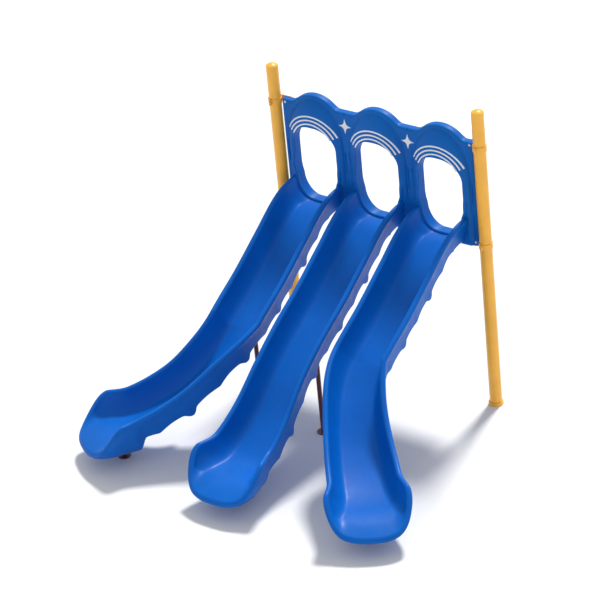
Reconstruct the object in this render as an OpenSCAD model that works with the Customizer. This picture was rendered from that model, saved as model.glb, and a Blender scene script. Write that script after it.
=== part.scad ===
// Triple wave slide: three moulded chutes side by side, leaving one arched entry
// hood that is clamped between two posts. The middle chute runs straight and the
// outer two veer away near the bottom. All sizes are in millimetres.
// Seen from the front +X is to the right, the chutes run towards -Y, and +Z is up.

/* [Deck] */
// Height of the deck that the slide starts from
deck_h = 1829; // [1400:1:2200]
// Height of the sliding surface above the deck at the entry
sill_h = 41; // [10:1:80]
// Height of the posts, caps included
post_h = 3311; // [3200:1:3800]
// Distance between the centres of the two posts
post_span = 2485; // [2450:1:2700]
// Outside diameter of a post
post_d = 127; // [89:1:140]
// Wall thickness of a post
post_wall = 3.2; // [2:0.1:6]

/* [Chutes] */
// Distance between the centres of neighbouring chutes at the hood
lane_pitch = 765; // [720:1:780]
// Width of a chute over its rims
chute_w = 620; // [560:1:680]
// Extra width of a chute at its exit
exit_flare = 250; // [60:1:300]
// Height of the rims above the sliding surface
wall_h = 235; // [180:1:300]
// Radius of the rolled rims
rim_r = 30; // [18:1:40]
// Width that each inner wall takes between the bed and the rim
wall_run = 116; // [80:1:140]
// How far the outer walls lean in towards their lower edge
tuck = 75; // [30:1:90]
// Depth of the moulded shell below the bed
shell_t = 32; // [20:1:60]
// Extra depth of the cross ribs under the bed
rib_depth = 36; // [0:1:60]
// Distance between cross ribs, measured level
rib_step = 240; // [160:10:320]
// Distance from the posts to the nose of the middle chute
front_reach = 3140; // [2700:1:3800]
// How much shorter the outer chutes reach than the middle one
side_short = 190; // [0:1:300]
// Height of the sliding surface at the exit
exit_h = 330; // [230:1:380]
// Height of the underside of the nose
nose_low = 135; // [60:1:180]
// Length of the rounded nose
nose_len = 420; // [300:1:440]
// Sideways sweep of the outer chutes, if they ran to the end of their bend
veer = 1200; // [600:10:1300]
// Level distance from the posts to the start of the bend
veer_start = 1450; // [1200:10:1700]
// Level length of the whole bend
veer_run = 2000; // [1800:10:2600]

/* [Hood] */
// Height of the lower edge of the hood
hood_low = 1780; // [1300:1:2180]
// Height of the middle of each arch above the deck
arch_rise = 871; // [800:1:1000]
// Radius of the arches along the top
arch_r = 340; // [300:1:360]
// Height of the shoulders between arches above the deck
shoulder_rise = 1096; // [1020:1:1140]
// Thickness of the hood between the arches
hood_t = 80; // [50:1:110]
// How far each door surround bulges forward
bulge = 90; // [50:1:110]
// Width of a doorway
door_w = 566; // [520:1:610]
// Height of the top of a doorway above the deck
door_rise = 896; // [820:1:930]
// Gap between the hood and the posts
post_gap = 15; // [8:1:40]
// Thickness of the white trim
trim_t = 3; // [2:0.5:6]

/* [Clamps and legs] */
// Height of the upper hood clamps above the deck
clamp_rise = 1071; // [900:1:1090]
// Height of a clamp band
clamp_h = 56; // [40:1:80]
// Thickness of a clamp band
clamp_t = 8; // [5:0.5:12]
// Level distance from the posts to the support legs
leg_reach = 1290; // [1200:1:1400]
// Outside diameter of a support leg
leg_d = 48.3; // [40:0.1:76]
// Wall thickness of a support leg
leg_wall = 3.2; // [2:0.1:5]
// Diameter of the leg base flanges
flange_d = 130; // [125:1:200]
// Diameter of the main bolts
bolt_d = 10; // [8:0.5:12]
// Clearance of a bolt in its hole, on the diameter
bolt_gap = 1; // [0.4:0.1:2]

/* [Hidden] */
$fn = 96;

blue = [0.05, 0.33, 0.75];
yellow = [0.96, 0.68, 0.16];
maroon = [0.42, 0.10, 0.13];
white = [0.93, 0.95, 0.97];
zinc = [0.72, 0.74, 0.76];

// Frame: the model is drawn with y = 0 at the posts, then shifted so that the
// origin is under the middle of the whole object.
sill_leg = 70;
sill_t = 6;
back_reach = hood_t + sill_t + sill_leg;
mid_y = (front_reach - back_reach) / 2;

// Chutes: where they start, and the height of the bed along the run. The wave is
// a list of [share of the run, share of the drop], and the bed is a smooth curve
// through it: steep, easier in the middle, steep again, then level.
entry_y = 30;
entry_h = deck_h + sill_h;
level_run = front_reach - 440 - entry_y;
wave = [[0, 1], [0.09, 0.968], [0.22, 0.822], [0.37, 0.651], [0.525, 0.497], [0.65, 0.345],
        [0.78, 0.152], [0.905, 0.026], [1, 0]];
first_rib = 450;
station_step = 60;
nose_steps = 9;
lanes = [-1, 0, 1];

function smooth(t) = let (c = min(1, max(0, t))) c * c * (3 - 2 * c);
function wave_slope(i) = (i == 0 || i == len(wave) - 1) ? 0
  : (wave[i + 1][1] - wave[i - 1][1]) / (wave[i + 1][0] - wave[i - 1][0]);
function hermite(i, t, w) = wave[i][1] * (2 * t * t * t - 3 * t * t + 1)
  + wave_slope(i) * w * (t * t * t - 2 * t * t + t)
  + wave[i + 1][1] * (3 * t * t - 2 * t * t * t)
  + wave_slope(i + 1) * w * (t * t * t - t * t);
function wave_at(u, i = 0) = u <= 0 ? 1 : u >= 1 ? 0
  : u > wave[i + 1][0] ? wave_at(u, i + 1)
  : hermite(i, (u - wave[i][0]) / (wave[i + 1][0] - wave[i][0]), wave[i + 1][0] - wave[i][0]);

// A lane is -1, 0 or 1; r is the level distance from the posts, along -Y.
function lane_x(lane, r) = lane * (lane_pitch + veer * smooth((r - veer_start) / veer_run));
function bed_z(r) = exit_h + (entry_h - exit_h) * wave_at((r - entry_y) / level_run);
function center_at(lane, r) = [lane_x(lane, r), -r, bed_z(r)];
function unit(v) = v / norm(v);
function forward(lane, r) = unit(center_at(lane, r + 2) - center_at(lane, r - 2));
function across(lane, r) = let (f = forward(lane, r)) unit([-f[1], f[0], 0]);
function tip(lane) = front_reach - (lane == 0 ? 0 : side_short);
// Distance left to the tip of the nose, along the lane in plan
function to_tip(lane, r) = (tip(lane) - r)
  * norm([lane_x(lane, tip(lane)) - lane_x(lane, tip(lane) - 100), 100]) / 100;

// Support legs: the underside is flat round each leg, on this slope.
leg_slope = (bed_z(leg_reach - 120) - bed_z(leg_reach + 120)) / 240;
leg_tilt = atan(leg_slope);
pad_z = bed_z(leg_reach) - (shell_t + rib_depth) / cos(leg_tilt);
function pad_at(r) = pad_z - leg_slope * (r - leg_reach);
function pad_share(r) = 1 - smooth((abs(r - leg_reach) - 130) / 60);

// Underside depth at a station: arches between cross ribs
function arch(r) = r < first_rib - rib_step ? 0.4
  : abs(sin(180 * (r - first_rib) / rib_step));
function depth_at(r) = shell_t + rib_depth * (1 - arch(r));

// Half of a cross-section, from the middle of the bed out over the rim and back
// underneath; hw is half the width over the rims, h the height of the rims.
function half_section(hw, h, depth, rr) =
  let (bed = max(0.12 * hw, hw - 2 * rr - wall_run * hw * 2 / (chute_w + exit_flare * 0.5)),
       k = h / wall_h, low = hw - min(tuck, 0.3 * hw))
  [[0, 0], [bed * 0.6, 0], [bed, 2 * k],
   [bed + (hw - 2 * rr - bed) * 0.25, 12 * k], [bed + (hw - 2 * rr - bed) * 0.45, 40 * k],
   for (a = [180:-45:0]) [hw - rr + rr * cos(a), h - rr + rr * sin(a)],
   [low + (hw - low) * 0.55, (h - rr) * 0.4],
   [low, -depth * 0.55], [low - min(18, low * 0.2), -depth], [low * 0.74, -depth],
   [low * 0.46, -depth], [0, -depth]];
half_n = 16;
ring_n = 2 * half_n - 2;
under_from = half_n - 4;
function section(hw, h, depth, rr) =
  let (half = half_section(hw, h, depth, rr))
  [for (p = half) p, for (i = [half_n - 2:-1:1]) [-half[i][0], half[i][1]]];

// One ring of a chute at level distance r. The exit flares in two steps, the rims dip
// into the nose, and the underside drops to a bowl with a level middle.
bowl_from = 600;
bowl_edge = 90;
bowl_rise = [70, 26, 0, 0];
bowl_side = 0.45;
rim_dip = 330;
nose_curl = 0.62;
nose_power = 3.2;
function nose_share(d) = d >= nose_len ? 1
  : pow(1 - pow(1 - max(d, 0) / nose_len, nose_power), 1 / nose_power);
function ring(lane, r) =
  let (d = to_tip(lane, r), f = forward(lane, r), s = across(lane, r), n = cross(f, s),
       k = max(0.04, nose_share(d)),
       flare = 0.42 * smooth((1500 - d) / 1000) + 0.58 * smooth((620 - d) / 350),
       hw = (chute_w / 2 + exit_flare / 2 * flare) * k,
       rr = rim_r * min(1, k * 1.4),
       h = rr * 1.25 + (wall_h - rr * 1.25) * smooth((d - 50) / rim_dip),
       bowl = smooth((bowl_from - d) / bowl_edge),
       c = center_at(lane, r) - [0, 0, (exit_h - nose_low) * nose_curl * (1 - pow(k, 0.8))],
       half = section(hw, h, depth_at(r), rr))
  [for (i = [0:ring_n - 1])
    let (j = min(i, ring_n - i), q = c + s * half[i][0] + n * half[i][1],
         floor_z = nose_low + (j < under_from ? (c[2] - nose_low) * bowl_side
           : bowl_rise[j - under_from] * k),
         z = j < under_from - 1 ? q[2] : q[2] + (floor_z - q[2]) * bowl,
         pad = j < under_from ? 0 : pad_share(r))
    [q[0], q[1], z * (1 - pad) + pad_at(-q[1]) * pad]];

// Level distances of the rings: even steps, then close ones where the bowl starts
function r_at(lane, d) = tip(lane) - d / to_tip(lane, tip(lane) - 1);
function stations(lane) =
  let (last = r_at(lane, bowl_from + 20), n = ceil((last - entry_y) / station_step))
  [for (i = [0:n]) entry_y + (last - entry_y) * i / n,
   for (d = [bowl_from - 25:-20:bowl_from - bowl_edge - 5]) r_at(lane, d),
   r_at(lane, 465),
   for (i = [0:nose_steps]) r_at(lane, nose_len * (1 - sin(90 * i / nose_steps)))];

// Triangles that close one half of a ring, in strips between its top and its underside
function cap(start, side) = [
  for (j = [0:half_n / 2 - 2])
    let (p = [for (k = [j, j + 1, half_n - 2 - j, half_n - 1 - j]) start + (ring_n + side * k) % ring_n])
    each [[p[0], p[1], p[2]], [p[0], p[2], p[3]]]
];
function turned(faces) = [for (f = faces) [f[2], f[1], f[0]]];

module skin(rings) {
  last = (len(rings) - 1) * ring_n;
  points = [for (g = rings) for (p = g) p];
  faces = [
    for (i = [0:ring_n:last - 1]) for (j = [0:ring_n - 1])
      let (a = i + j, b = i + (j + 1) % ring_n)
      each [[a, b, b + ring_n], [a, b + ring_n, a + ring_n]],
    each turned(cap(0, 1)),
    each cap(0, -1),
    each cap(last, 1),
    each turned(cap(last, -1))
  ];
  polyhedron(points, faces, convexity = 8);
}

module at_frame() {
  translate([0, mid_y, 0]) children();
}

// Bolts that hold a chute's end to the hood: [sideways, above the bed]
chute_bolt_at = [[226, 50], [-226, 50], [266, 160], [-266, 160]];

module along_y(x, z, from, to, d) {
  translate([x, from, z]) rotate([-90, 0, 0]) cylinder(h = to - from, d = d);
}

module at_leg(lane) {
  translate([lane_x(lane, leg_reach), -leg_reach, pad_z]) rotate([leg_tilt, 0, 0]) children();
}

// Saddle plate on the flat under the chute, with two bolts up into the shell
saddle_l = 190;
saddle_w = 110;
saddle_t = 6;
saddle_bolt_y = 68;

module chute(lane) {
  color(blue) at_frame() skin([for (r = stations(lane)) ring(lane, r)]);
}

module chute_left() { mirror([1, 0, 0]) chute(1); }
module chute_center() { chute(0); }
module chute_right() { chute(1); }

// Hood: everything is drawn as outlines in the XZ plane and extruded along Y
arch_z = deck_h + arch_rise;
shoulder_z = deck_h + shoulder_rise;
door_top = deck_h + door_rise;
hood_half = post_span / 2 - post_d / 2 - post_gap;
pad_top = entry_h + wall_h + 8;
pad_half = chute_w / 2 + 15;
bulge_half = arch_r;
bulge_r = (bulge_half * bulge_half + bulge * bulge) / (2 * bulge);
door_corner = 250;

module upright(from, to) {
  translate([0, to, 0]) rotate([90, 0, 0]) linear_extrude(height = to - from, convexity = 6)
    children();
}

// The lower end is a U that follows the inside of the chute
door_floor = 50;
door_u = [200, 250];

module door_outline() {
  w = door_w / 2;
  right = [
    [door_floor, entry_h],
    for (a = [15:15:75]) [door_floor + door_u[0] * sin(a), entry_h + door_u[1] * (1 - cos(a))],
    [w * 0.925, entry_h + door_u[1] * 0.96], [w * 0.975, entry_h + door_u[1] * 1.16],
    [w, entry_h + door_u[1] * 1.4],
    for (a = [0:10:90]) [w - door_corner + door_corner * cos(a),
      door_top + door_corner * 0.9 * (sin(a) - 1)]
  ];
  polygon([for (p = right) p, for (i = [len(right) - 1:-1:0]) [-right[i][0], right[i][1]]]);
}

module surround_outline() {
  translate([0, arch_z]) circle(arch_r);
  translate([-arch_r, hood_low]) square([2 * arch_r, arch_z - hood_low]);
}

module hood_outline() {
  translate([-hood_half, hood_low]) square([2 * hood_half, shoulder_z - hood_low]);
  for (lane = lanes) translate([lane * lane_pitch, arch_z]) circle(arch_r);
}

module surround() {
  difference() {
    intersection() {
      translate([0, bulge_r - bulge, 0]) cylinder(h = post_h, r = bulge_r, $fn = 180);
      upright(-bulge - 1, 1) surround_outline();
    }
    translate([-arch_r - 1, -bulge - 2, 0]) cube([2 * arch_r + 2, bulge + 2 - entry_y, pad_top]);
  }
  translate([-pad_half, -entry_y, hood_low]) cube([2 * pad_half, entry_y + 1, pad_top - hood_low]);
}

clamp_z = [deck_h, deck_h + clamp_rise];
hood_bolt_x = post_span / 2 - post_d / 2 - 58;
sill_top = deck_h - 12;
sill_bolt_z = (sill_top + hood_low) / 2;
sill_bolt_x = [lane_pitch * 0.75, lane_pitch * 1.25];

module hood_panel() {
  color(blue) at_frame() difference() {
    union() {
      upright(0, hood_t) hood_outline();
      for (lane = lanes) translate([lane * lane_pitch, 0, 0]) surround();
    }
    for (lane = lanes) translate([lane * lane_pitch, 0, 0]) {
      upright(-bulge - 2, hood_t + 2) door_outline();
      for (b = chute_bolt_at)
        along_y(b[0], entry_h + b[1], -entry_y - 1, hood_t + 1, bolt_d + bolt_gap);
    }
    for (x = [-1, 1]) for (z = clamp_z)
      along_y(x * hood_bolt_x, z, -1, hood_t + 1, bolt_d + bolt_gap);
    for (x = [-1, 1]) for (b = sill_bolt_x)
      along_y(x * b, sill_bolt_z, -entry_y - 1, hood_t + 1, bolt_d + bolt_gap);
  }
}

// White trim: three arcs over each door and a four-pointed star between doors
arc_z = deck_h + 671;
arc_r = [245, 285, 325];
arc_w = 15;
arc_spread = 64;

module arc_trim(lane) {
  color(white) at_frame() translate([lane * lane_pitch, 0, 0]) difference() {
    intersection() {
      translate([0, bulge_r - bulge, 0]) cylinder(h = post_h, r = bulge_r + trim_t, $fn = 180);
      upright(-bulge - trim_t - 1, 0) for (r = arc_r) translate([0, arc_z]) intersection() {
        difference() {
          circle(r + arc_w);
          circle(r);
        }
        polygon([[0, 0], for (a = [90 - arc_spread, 90, 90 + arc_spread])
          [900 * cos(a), 900 * sin(a)]]);
      }
    }
    translate([0, bulge_r - bulge, 0]) cylinder(h = post_h, r = bulge_r, $fn = 180);
    upright(-bulge - 2, hood_t + 2) door_outline();
  }
}

module arc_trim_left() { arc_trim(-1); }
module arc_trim_center() { arc_trim(0); }
module arc_trim_right() { arc_trim(1); }

star_z = deck_h + 951;
star_h = 90;
star_w = 68;

module star(side) {
  waist = 16;
  color(white) at_frame() translate([side * lane_pitch / 2, 0, star_z]) upright(-trim_t, 0)
    polygon([[star_w, 0], [waist, waist], [0, star_h], [-waist, waist], [-star_w, 0],
      [-waist, -waist], [0, -star_h], [waist, -waist]]);
}

module star_left() { star(-1); }
module star_right() { star(1); }

// Posts, caps and shoes
cap_rise = 26;
cap_skirt = 30;
shoe_d = post_d + 26;
shoe_h = 38;
shoe_floor = 8;
anchor_d = 18;

module at_post(side) {
  at_frame() translate([side * post_span / 2, 0, 0]) children();
}

module tube(d, wall, from, to) {
  translate([0, 0, from]) difference() {
    cylinder(h = to - from, d = d);
    translate([0, 0, -1]) cylinder(h = to - from + 2, d = d - 2 * wall);
  }
}

module post(side) {
  color(yellow) at_post(side) tube(post_d, post_wall, shoe_floor, post_h - cap_rise);
}

module post_left() { post(-1); }
module post_right() { post(1); }

// The cap is a shallow dome with a plug that sits inside the tube.
module post_cap(side) {
  r = post_d / 2;
  dome = (r * r + cap_rise * cap_rise) / (2 * cap_rise);
  color(yellow) at_post(side) translate([0, 0, post_h - cap_rise]) {
    intersection() {
      cylinder(h = cap_rise, d = post_d);
      translate([0, 0, cap_rise - dome]) sphere(r = dome, $fn = 180);
    }
    translate([0, 0, -cap_skirt]) cylinder(h = cap_skirt, d = post_d - 2 * post_wall);
  }
}

module post_cap_left() { post_cap(-1); }
module post_cap_right() { post_cap(1); }

module post_shoe(side) {
  color(yellow) at_post(side) difference() {
    union() {
      cylinder(h = shoe_h - 8, d = shoe_d);
      translate([0, 0, shoe_h - 8]) cylinder(h = 8, d1 = shoe_d, d2 = shoe_d - 16);
    }
    translate([0, 0, shoe_floor]) cylinder(h = shoe_h, d = post_d);
    translate([0, 0, -1]) cylinder(h = shoe_floor + 2, d = anchor_d);
  }
}

module post_shoe_left() { post_shoe(-1); }
module post_shoe_right() { post_shoe(1); }

// Hood clamps: two half bands with ears; the inner one has a lug behind the hood.
ear_l = 34;
ear_t = 7;
lug_t = 8;
split = 3;

// side is the post, inward is +1 for the half towards the hood and -1 for the other
module clamp_half(side, z, inward) {
  dir = -side * inward;
  outer = post_d / 2 + clamp_t;
  color(yellow) at_post(side) translate([0, 0, z - clamp_h / 2]) difference() {
    union() {
      intersection() {
        cylinder(h = clamp_h, r = outer);
        translate([dir > 0 ? split / 2 : -outer - 1, -outer - 1, 0])
          cube([outer + 1 - split / 2, 2 * outer + 2, clamp_h]);
      }
      for (e = [-1, 1])
        translate([dir > 0 ? split / 2 : -split / 2 - ear_t,
                   e > 0 ? post_d / 2 + 1 : -post_d / 2 - 1 - ear_l, 0])
          cube([ear_t, ear_l, clamp_h]);
      if (inward > 0)
        translate([dir > 0 ? split / 2 : -split / 2 - post_d / 2 - 82, hood_t, 0])
          cube([post_d / 2 + 82, lug_t, clamp_h]);
    }
    translate([0, 0, -1]) cylinder(h = clamp_h + 2, d = post_d);
    for (e = [-1, 1]) translate([-ear_t - split, e * (post_d / 2 + 1 + ear_l * 0.62), clamp_h / 2])
      rotate([0, 90, 0]) cylinder(h = 2 * ear_t + 2 * split, d = bolt_d + bolt_gap);
    if (inward > 0)
      along_y(-side * (post_span / 2 - hood_bolt_x), clamp_h / 2, hood_t - 1, hood_t + lug_t + 1,
              bolt_d + bolt_gap);
  }
}

module upper_clamp_inner_left() { clamp_half(-1, clamp_z[1], 1); }
module upper_clamp_outer_left() { clamp_half(-1, clamp_z[1], -1); }
module upper_clamp_inner_right() { clamp_half(1, clamp_z[1], 1); }
module upper_clamp_outer_right() { clamp_half(1, clamp_z[1], -1); }
module lower_clamp_inner_left() { clamp_half(-1, clamp_z[0], 1); }
module lower_clamp_outer_left() { clamp_half(-1, clamp_z[0], -1); }
module lower_clamp_inner_right() { clamp_half(1, clamp_z[0], 1); }
module lower_clamp_outer_right() { clamp_half(1, clamp_z[0], -1); }

// Fasteners lie along their own +Z: head below z = 0, shank up to the tip
head_h = 6.5;
nut_h = 8;
nut_d = 19;

module hex_bolt(l, d = bolt_d) {
  translate([0, 0, -head_h]) cylinder(h = head_h, d = nut_d, $fn = 6);
  cylinder(h = l, d = d);
}

module dome_bolt(l) {
  intersection() {
    translate([0, 0, 14]) sphere(r = 20);
    translate([0, 0, -head_h]) cylinder(h = head_h, d = 30);
  }
  cylinder(h = l, d = bolt_d);
}

module hex_nut() {
  difference() {
    cylinder(h = nut_h, d = nut_d, $fn = 6);
    translate([0, 0, -1]) cylinder(h = nut_h + 2, d = bolt_d);
  }
}

module at_clamp_bolts() {
  for (side = [-1, 1]) for (z = clamp_z) for (e = [-1, 1])
    at_post(side) translate([-split / 2 - ear_t, e * (post_d / 2 + 1 + ear_l * 0.62), z])
      rotate([0, 90, 0]) children();
}

module clamp_bolts() {
  color(zinc) at_clamp_bolts() hex_bolt(split + 2 * ear_t + nut_h + 3);
}

module clamp_nuts() {
  color(zinc) at_clamp_bolts() translate([0, 0, split + 2 * ear_t]) hex_nut();
}

module at_hood_bolts() {
  for (x = [-1, 1]) for (z = clamp_z)
    at_frame() translate([x * hood_bolt_x, 0, z]) rotate([-90, 0, 0]) children();
}

module hood_bolts() {
  color(zinc) at_hood_bolts() dome_bolt(hood_t + lug_t + nut_h + 3);
}

module hood_nuts() {
  color(zinc) at_hood_bolts() translate([0, 0, hood_t + lug_t]) hex_nut();
}

// Sill angle: carries the lower edge of the hood on the front edge of the deck
sill_half = lane_pitch * 1.36 + 30;
sill_depth = 78;
deck_hole_x = [lane_pitch / 2, lane_pitch * 1.25];
deck_hole_y = hood_t + sill_t + sill_leg * 0.55;

module sill_angle() {
  color(maroon) at_frame() difference() {
    union() {
      translate([-sill_half, hood_t, sill_top - sill_depth])
        cube([2 * sill_half, sill_t, sill_depth]);
      translate([-sill_half, hood_t, sill_top - sill_depth - sill_t])
        cube([2 * sill_half, sill_t + sill_leg, sill_t]);
    }
    for (x = [-1, 1]) for (b = sill_bolt_x)
      along_y(x * b, sill_bolt_z, hood_t - 1, hood_t + sill_t + 1, bolt_d + bolt_gap);
    for (x = [-1, 1]) for (b = deck_hole_x)
      translate([x * b, deck_hole_y, sill_top - sill_depth - sill_t - 1])
        cylinder(h = sill_t + 2, d = bolt_d + 3);
  }
}

module at_sill_bolts() {
  for (x = [-1, 1]) for (b = sill_bolt_x)
    at_frame() translate([x * b, -entry_y, sill_bolt_z]) rotate([-90, 0, 0]) children();
}

module sill_bolts() {
  color(zinc) at_sill_bolts() dome_bolt(entry_y + hood_t + sill_t + nut_h + 3);
}

module sill_nuts() {
  color(zinc) at_sill_bolts() translate([0, 0, entry_y + hood_t + sill_t]) hex_nut();
}

// Bolts through the hood into the threaded ends of the chutes
washer_t = 2.5;

module at_chute_bolts() {
  for (lane = lanes) for (b = chute_bolt_at)
    at_frame() translate([lane_x(lane, 0) + b[0], hood_t, entry_h + b[1]])
      rotate([90, 0, 0]) children();
}

module chute_bolts() {
  color(zinc) at_chute_bolts() translate([0, 0, -washer_t])
    hex_bolt(washer_t + hood_t + entry_y);
}

module chute_washers() {
  color(zinc) at_chute_bolts() translate([0, 0, -washer_t]) difference() {
    cylinder(h = washer_t, d = 26);
    translate([0, 0, -1]) cylinder(h = washer_t + 2, d = bolt_d);
  }
}

// Support legs
module leg_saddle(lane) {
  color(maroon) at_frame() at_leg(lane) difference() {
    translate([-saddle_w / 2, -saddle_l / 2, -saddle_t]) cube([saddle_w, saddle_l, saddle_t]);
    for (y = [-1, 1]) translate([0, y * saddle_bolt_y, -saddle_t - 1])
      cylinder(h = saddle_t + 2, d = bolt_d + bolt_gap);
  }
}

module leg_saddle_left() { leg_saddle(-1); }
module leg_saddle_center() { leg_saddle(0); }
module leg_saddle_right() { leg_saddle(1); }

flange_t = 10;
flange_pcd = flange_d - 38;
flange_hole_d = 14;

// The top of each leg is cut on the slope of its saddle.
module support_leg(lane) {
  color(maroon) at_frame() difference() {
    translate([lane_x(lane, leg_reach), -leg_reach, 0])
      tube(leg_d, leg_wall, flange_t, pad_z + leg_d);
    at_leg(lane) translate([-leg_d, -2 * leg_d, -saddle_t]) cube([2 * leg_d, 4 * leg_d, 3 * leg_d]);
  }
}

module support_leg_left() { support_leg(-1); }
module support_leg_center() { support_leg(0); }
module support_leg_right() { support_leg(1); }

module leg_flange(lane) {
  color(maroon) at_frame() translate([lane_x(lane, leg_reach), -leg_reach, 0]) difference() {
    cylinder(h = flange_t, d = flange_d);
    for (a = [45:90:315]) rotate([0, 0, a]) translate([flange_pcd / 2, 0, -1])
      cylinder(h = flange_t + 2, d = flange_hole_d);
  }
}

module leg_flange_left() { leg_flange(-1); }
module leg_flange_center() { leg_flange(0); }
module leg_flange_right() { leg_flange(1); }

// Exit stands: a short welded support on the ground under the level part of each bowl
stand_back = 400;
stand_l = 140;
stand_w = 110;
stand_bolt_y = 50;

module at_stand(lane) {
  r = r_at(lane, stand_back);
  f = forward(lane, r);
  translate([lane_x(lane, r), -r, 0]) rotate([0, 0, atan2(f[0], -f[1])]) children();
}

module exit_stand(lane) {
  color(maroon) at_frame() at_stand(lane) {
    difference() {
      cylinder(h = flange_t, d = flange_d);
      for (a = [45:90:315]) rotate([0, 0, a]) translate([flange_pcd / 2, 0, -1])
        cylinder(h = flange_t + 2, d = flange_hole_d);
    }
    tube(leg_d, leg_wall, flange_t, nose_low - saddle_t);
    difference() {
      translate([-stand_w / 2, -stand_l / 2, nose_low - saddle_t]) cube([stand_w, stand_l, saddle_t]);
      for (y = [-1, 1]) translate([0, y * stand_bolt_y, nose_low - saddle_t - 1])
        cylinder(h = saddle_t + 2, d = bolt_d + bolt_gap);
    }
  }
}

module exit_stand_left() { exit_stand(-1); }
module exit_stand_center() { exit_stand(0); }
module exit_stand_right() { exit_stand(1); }

module stand_bolts() {
  color(zinc) at_frame() for (lane = lanes) at_stand(lane) for (y = [-1, 1])
    translate([0, y * stand_bolt_y, nose_low - saddle_t]) hex_bolt(saddle_t);
}

module saddle_bolts() {
  color(zinc) at_frame() for (lane = lanes) at_leg(lane) for (y = [-1, 1])
    translate([0, y * saddle_bolt_y, -saddle_t]) hex_bolt(saddle_t);
}

hood_panel();
arc_trim_left();
arc_trim_center();
arc_trim_right();
star_left();
star_right();
chute_left();
chute_center();
chute_right();
post_left();
post_right();
post_cap_left();
post_cap_right();
post_shoe_left();
post_shoe_right();
upper_clamp_inner_left();
upper_clamp_outer_left();
upper_clamp_inner_right();
upper_clamp_outer_right();
lower_clamp_inner_left();
lower_clamp_outer_left();
lower_clamp_inner_right();
lower_clamp_outer_right();
clamp_bolts();
clamp_nuts();
hood_bolts();
hood_nuts();
sill_angle();
sill_bolts();
sill_nuts();
chute_bolts();
chute_washers();
leg_saddle_left();
leg_saddle_center();
leg_saddle_right();
support_leg_left();
support_leg_center();
support_leg_right();
leg_flange_left();
leg_flange_center();
leg_flange_right();
saddle_bolts();
exit_stand_left();
exit_stand_center();
exit_stand_right();
stand_bolts();
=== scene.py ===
"""Looks of a triple wave slide: moulded chutes, entry hood, trim, steelwork and a plain studio stage."""

import math

import bmesh
import bpy
import numpy as np
from bpy.props import FloatProperty, FloatVectorProperty, PointerProperty
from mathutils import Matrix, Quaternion, Vector


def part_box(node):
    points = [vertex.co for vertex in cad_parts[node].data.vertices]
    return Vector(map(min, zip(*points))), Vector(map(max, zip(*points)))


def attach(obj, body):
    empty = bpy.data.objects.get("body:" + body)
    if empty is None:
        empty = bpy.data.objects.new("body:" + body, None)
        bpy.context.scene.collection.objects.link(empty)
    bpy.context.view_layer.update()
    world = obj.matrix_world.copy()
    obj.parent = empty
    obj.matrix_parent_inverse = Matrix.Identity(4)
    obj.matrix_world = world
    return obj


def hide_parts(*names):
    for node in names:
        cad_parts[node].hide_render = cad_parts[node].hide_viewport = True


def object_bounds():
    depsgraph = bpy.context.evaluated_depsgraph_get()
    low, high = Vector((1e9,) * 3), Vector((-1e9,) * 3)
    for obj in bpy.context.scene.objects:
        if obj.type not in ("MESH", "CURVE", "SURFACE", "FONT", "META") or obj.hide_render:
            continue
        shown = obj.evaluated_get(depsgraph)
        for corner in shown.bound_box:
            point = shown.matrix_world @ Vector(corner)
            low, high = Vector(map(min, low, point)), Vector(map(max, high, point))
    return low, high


bl_info = {
    "name": "Wave Slide",
    "version": (1, 0, 0),
    "blender": (4, 5, 0),
    "location": "3D View > Sidebar > Wave Slide",
    "description": "Builds the plastic, trim, steel finishes and stage of a triple wave slide",
    "category": "Add Mesh",
}

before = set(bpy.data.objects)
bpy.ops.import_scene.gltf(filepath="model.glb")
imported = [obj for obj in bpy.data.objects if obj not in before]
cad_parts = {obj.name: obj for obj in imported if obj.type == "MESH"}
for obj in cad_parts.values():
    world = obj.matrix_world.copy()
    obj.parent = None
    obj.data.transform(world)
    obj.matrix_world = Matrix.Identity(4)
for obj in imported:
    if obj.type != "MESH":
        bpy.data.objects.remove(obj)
CAD_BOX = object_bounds()


def box_centre(node):
    low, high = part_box(node)
    return (low + high) / 2


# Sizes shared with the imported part, in metres
POST_Y = box_centre("post_left").y
LANES = {"left": -1, "center": 0, "right": 1}
PITCH = 0.765
VEER = 1.2
VEER_START = 1.45
VEER_RUN = 2.0
FRONT = 3.14
SIDE_SHORT = 0.19
DECK = 1.829
ENTRY_Y = 0.03
ENTRY_H = DECK + 0.041
EXIT_H = 0.33
LEVEL_RUN = FRONT - 0.44 - ENTRY_Y
WAVE = np.array([
    (0, 1), (0.09, 0.968), (0.22, 0.822), (0.37, 0.651), (0.525, 0.497), (0.65, 0.345),
    (0.78, 0.152), (0.905, 0.026), (1, 0),
])
CHUTE_W = 0.62
EXIT_FLARE = 0.25
# Each flare: its share of the widening, where it starts back from the tip, and its length
SLOW_FLARE = (0.42, 1.5, 1.0)
NOSE_FLARE = (0.58, 0.6, 0.37)
WALL_H = 0.235
LIP_H = 0.004
WALL_FADE_FROM = 0.04
WALL_FADE = 0.34
LIP_BLEND = 0.25
BED_CROWN = 0.004
WALL_RUN = 0.116
TUCK = 0.075
SHELL_T = 0.032
RIB_DEPTH = 0.036
RIB_STEP = 0.24
FIRST_RIB = 0.45
LUMP = 0.042
LUMP_W = 0.16
NOSE_LOW = 0.135
NOSE_LEN = 0.42
NOSE_POWER = 2.6
NOSE_DROP = 0.115
NOSE_DROP_LEN = 0.36
BOWL_FROM = 0.6
BOWL_EDGE = 0.09
LEG_REACH = 1.29
SADDLE_HALF = 0.13
HOOD_LOW = 1.78
HOOD_HALF = 1.164
HOOD_T = 0.08
ARCH_Z = DECK + 0.871
ARCH_R = 0.34
SHOULDER_Z = DECK + 1.096
DOOR_HALF = 0.27
DOOR_TOP = DECK + 0.88
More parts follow.
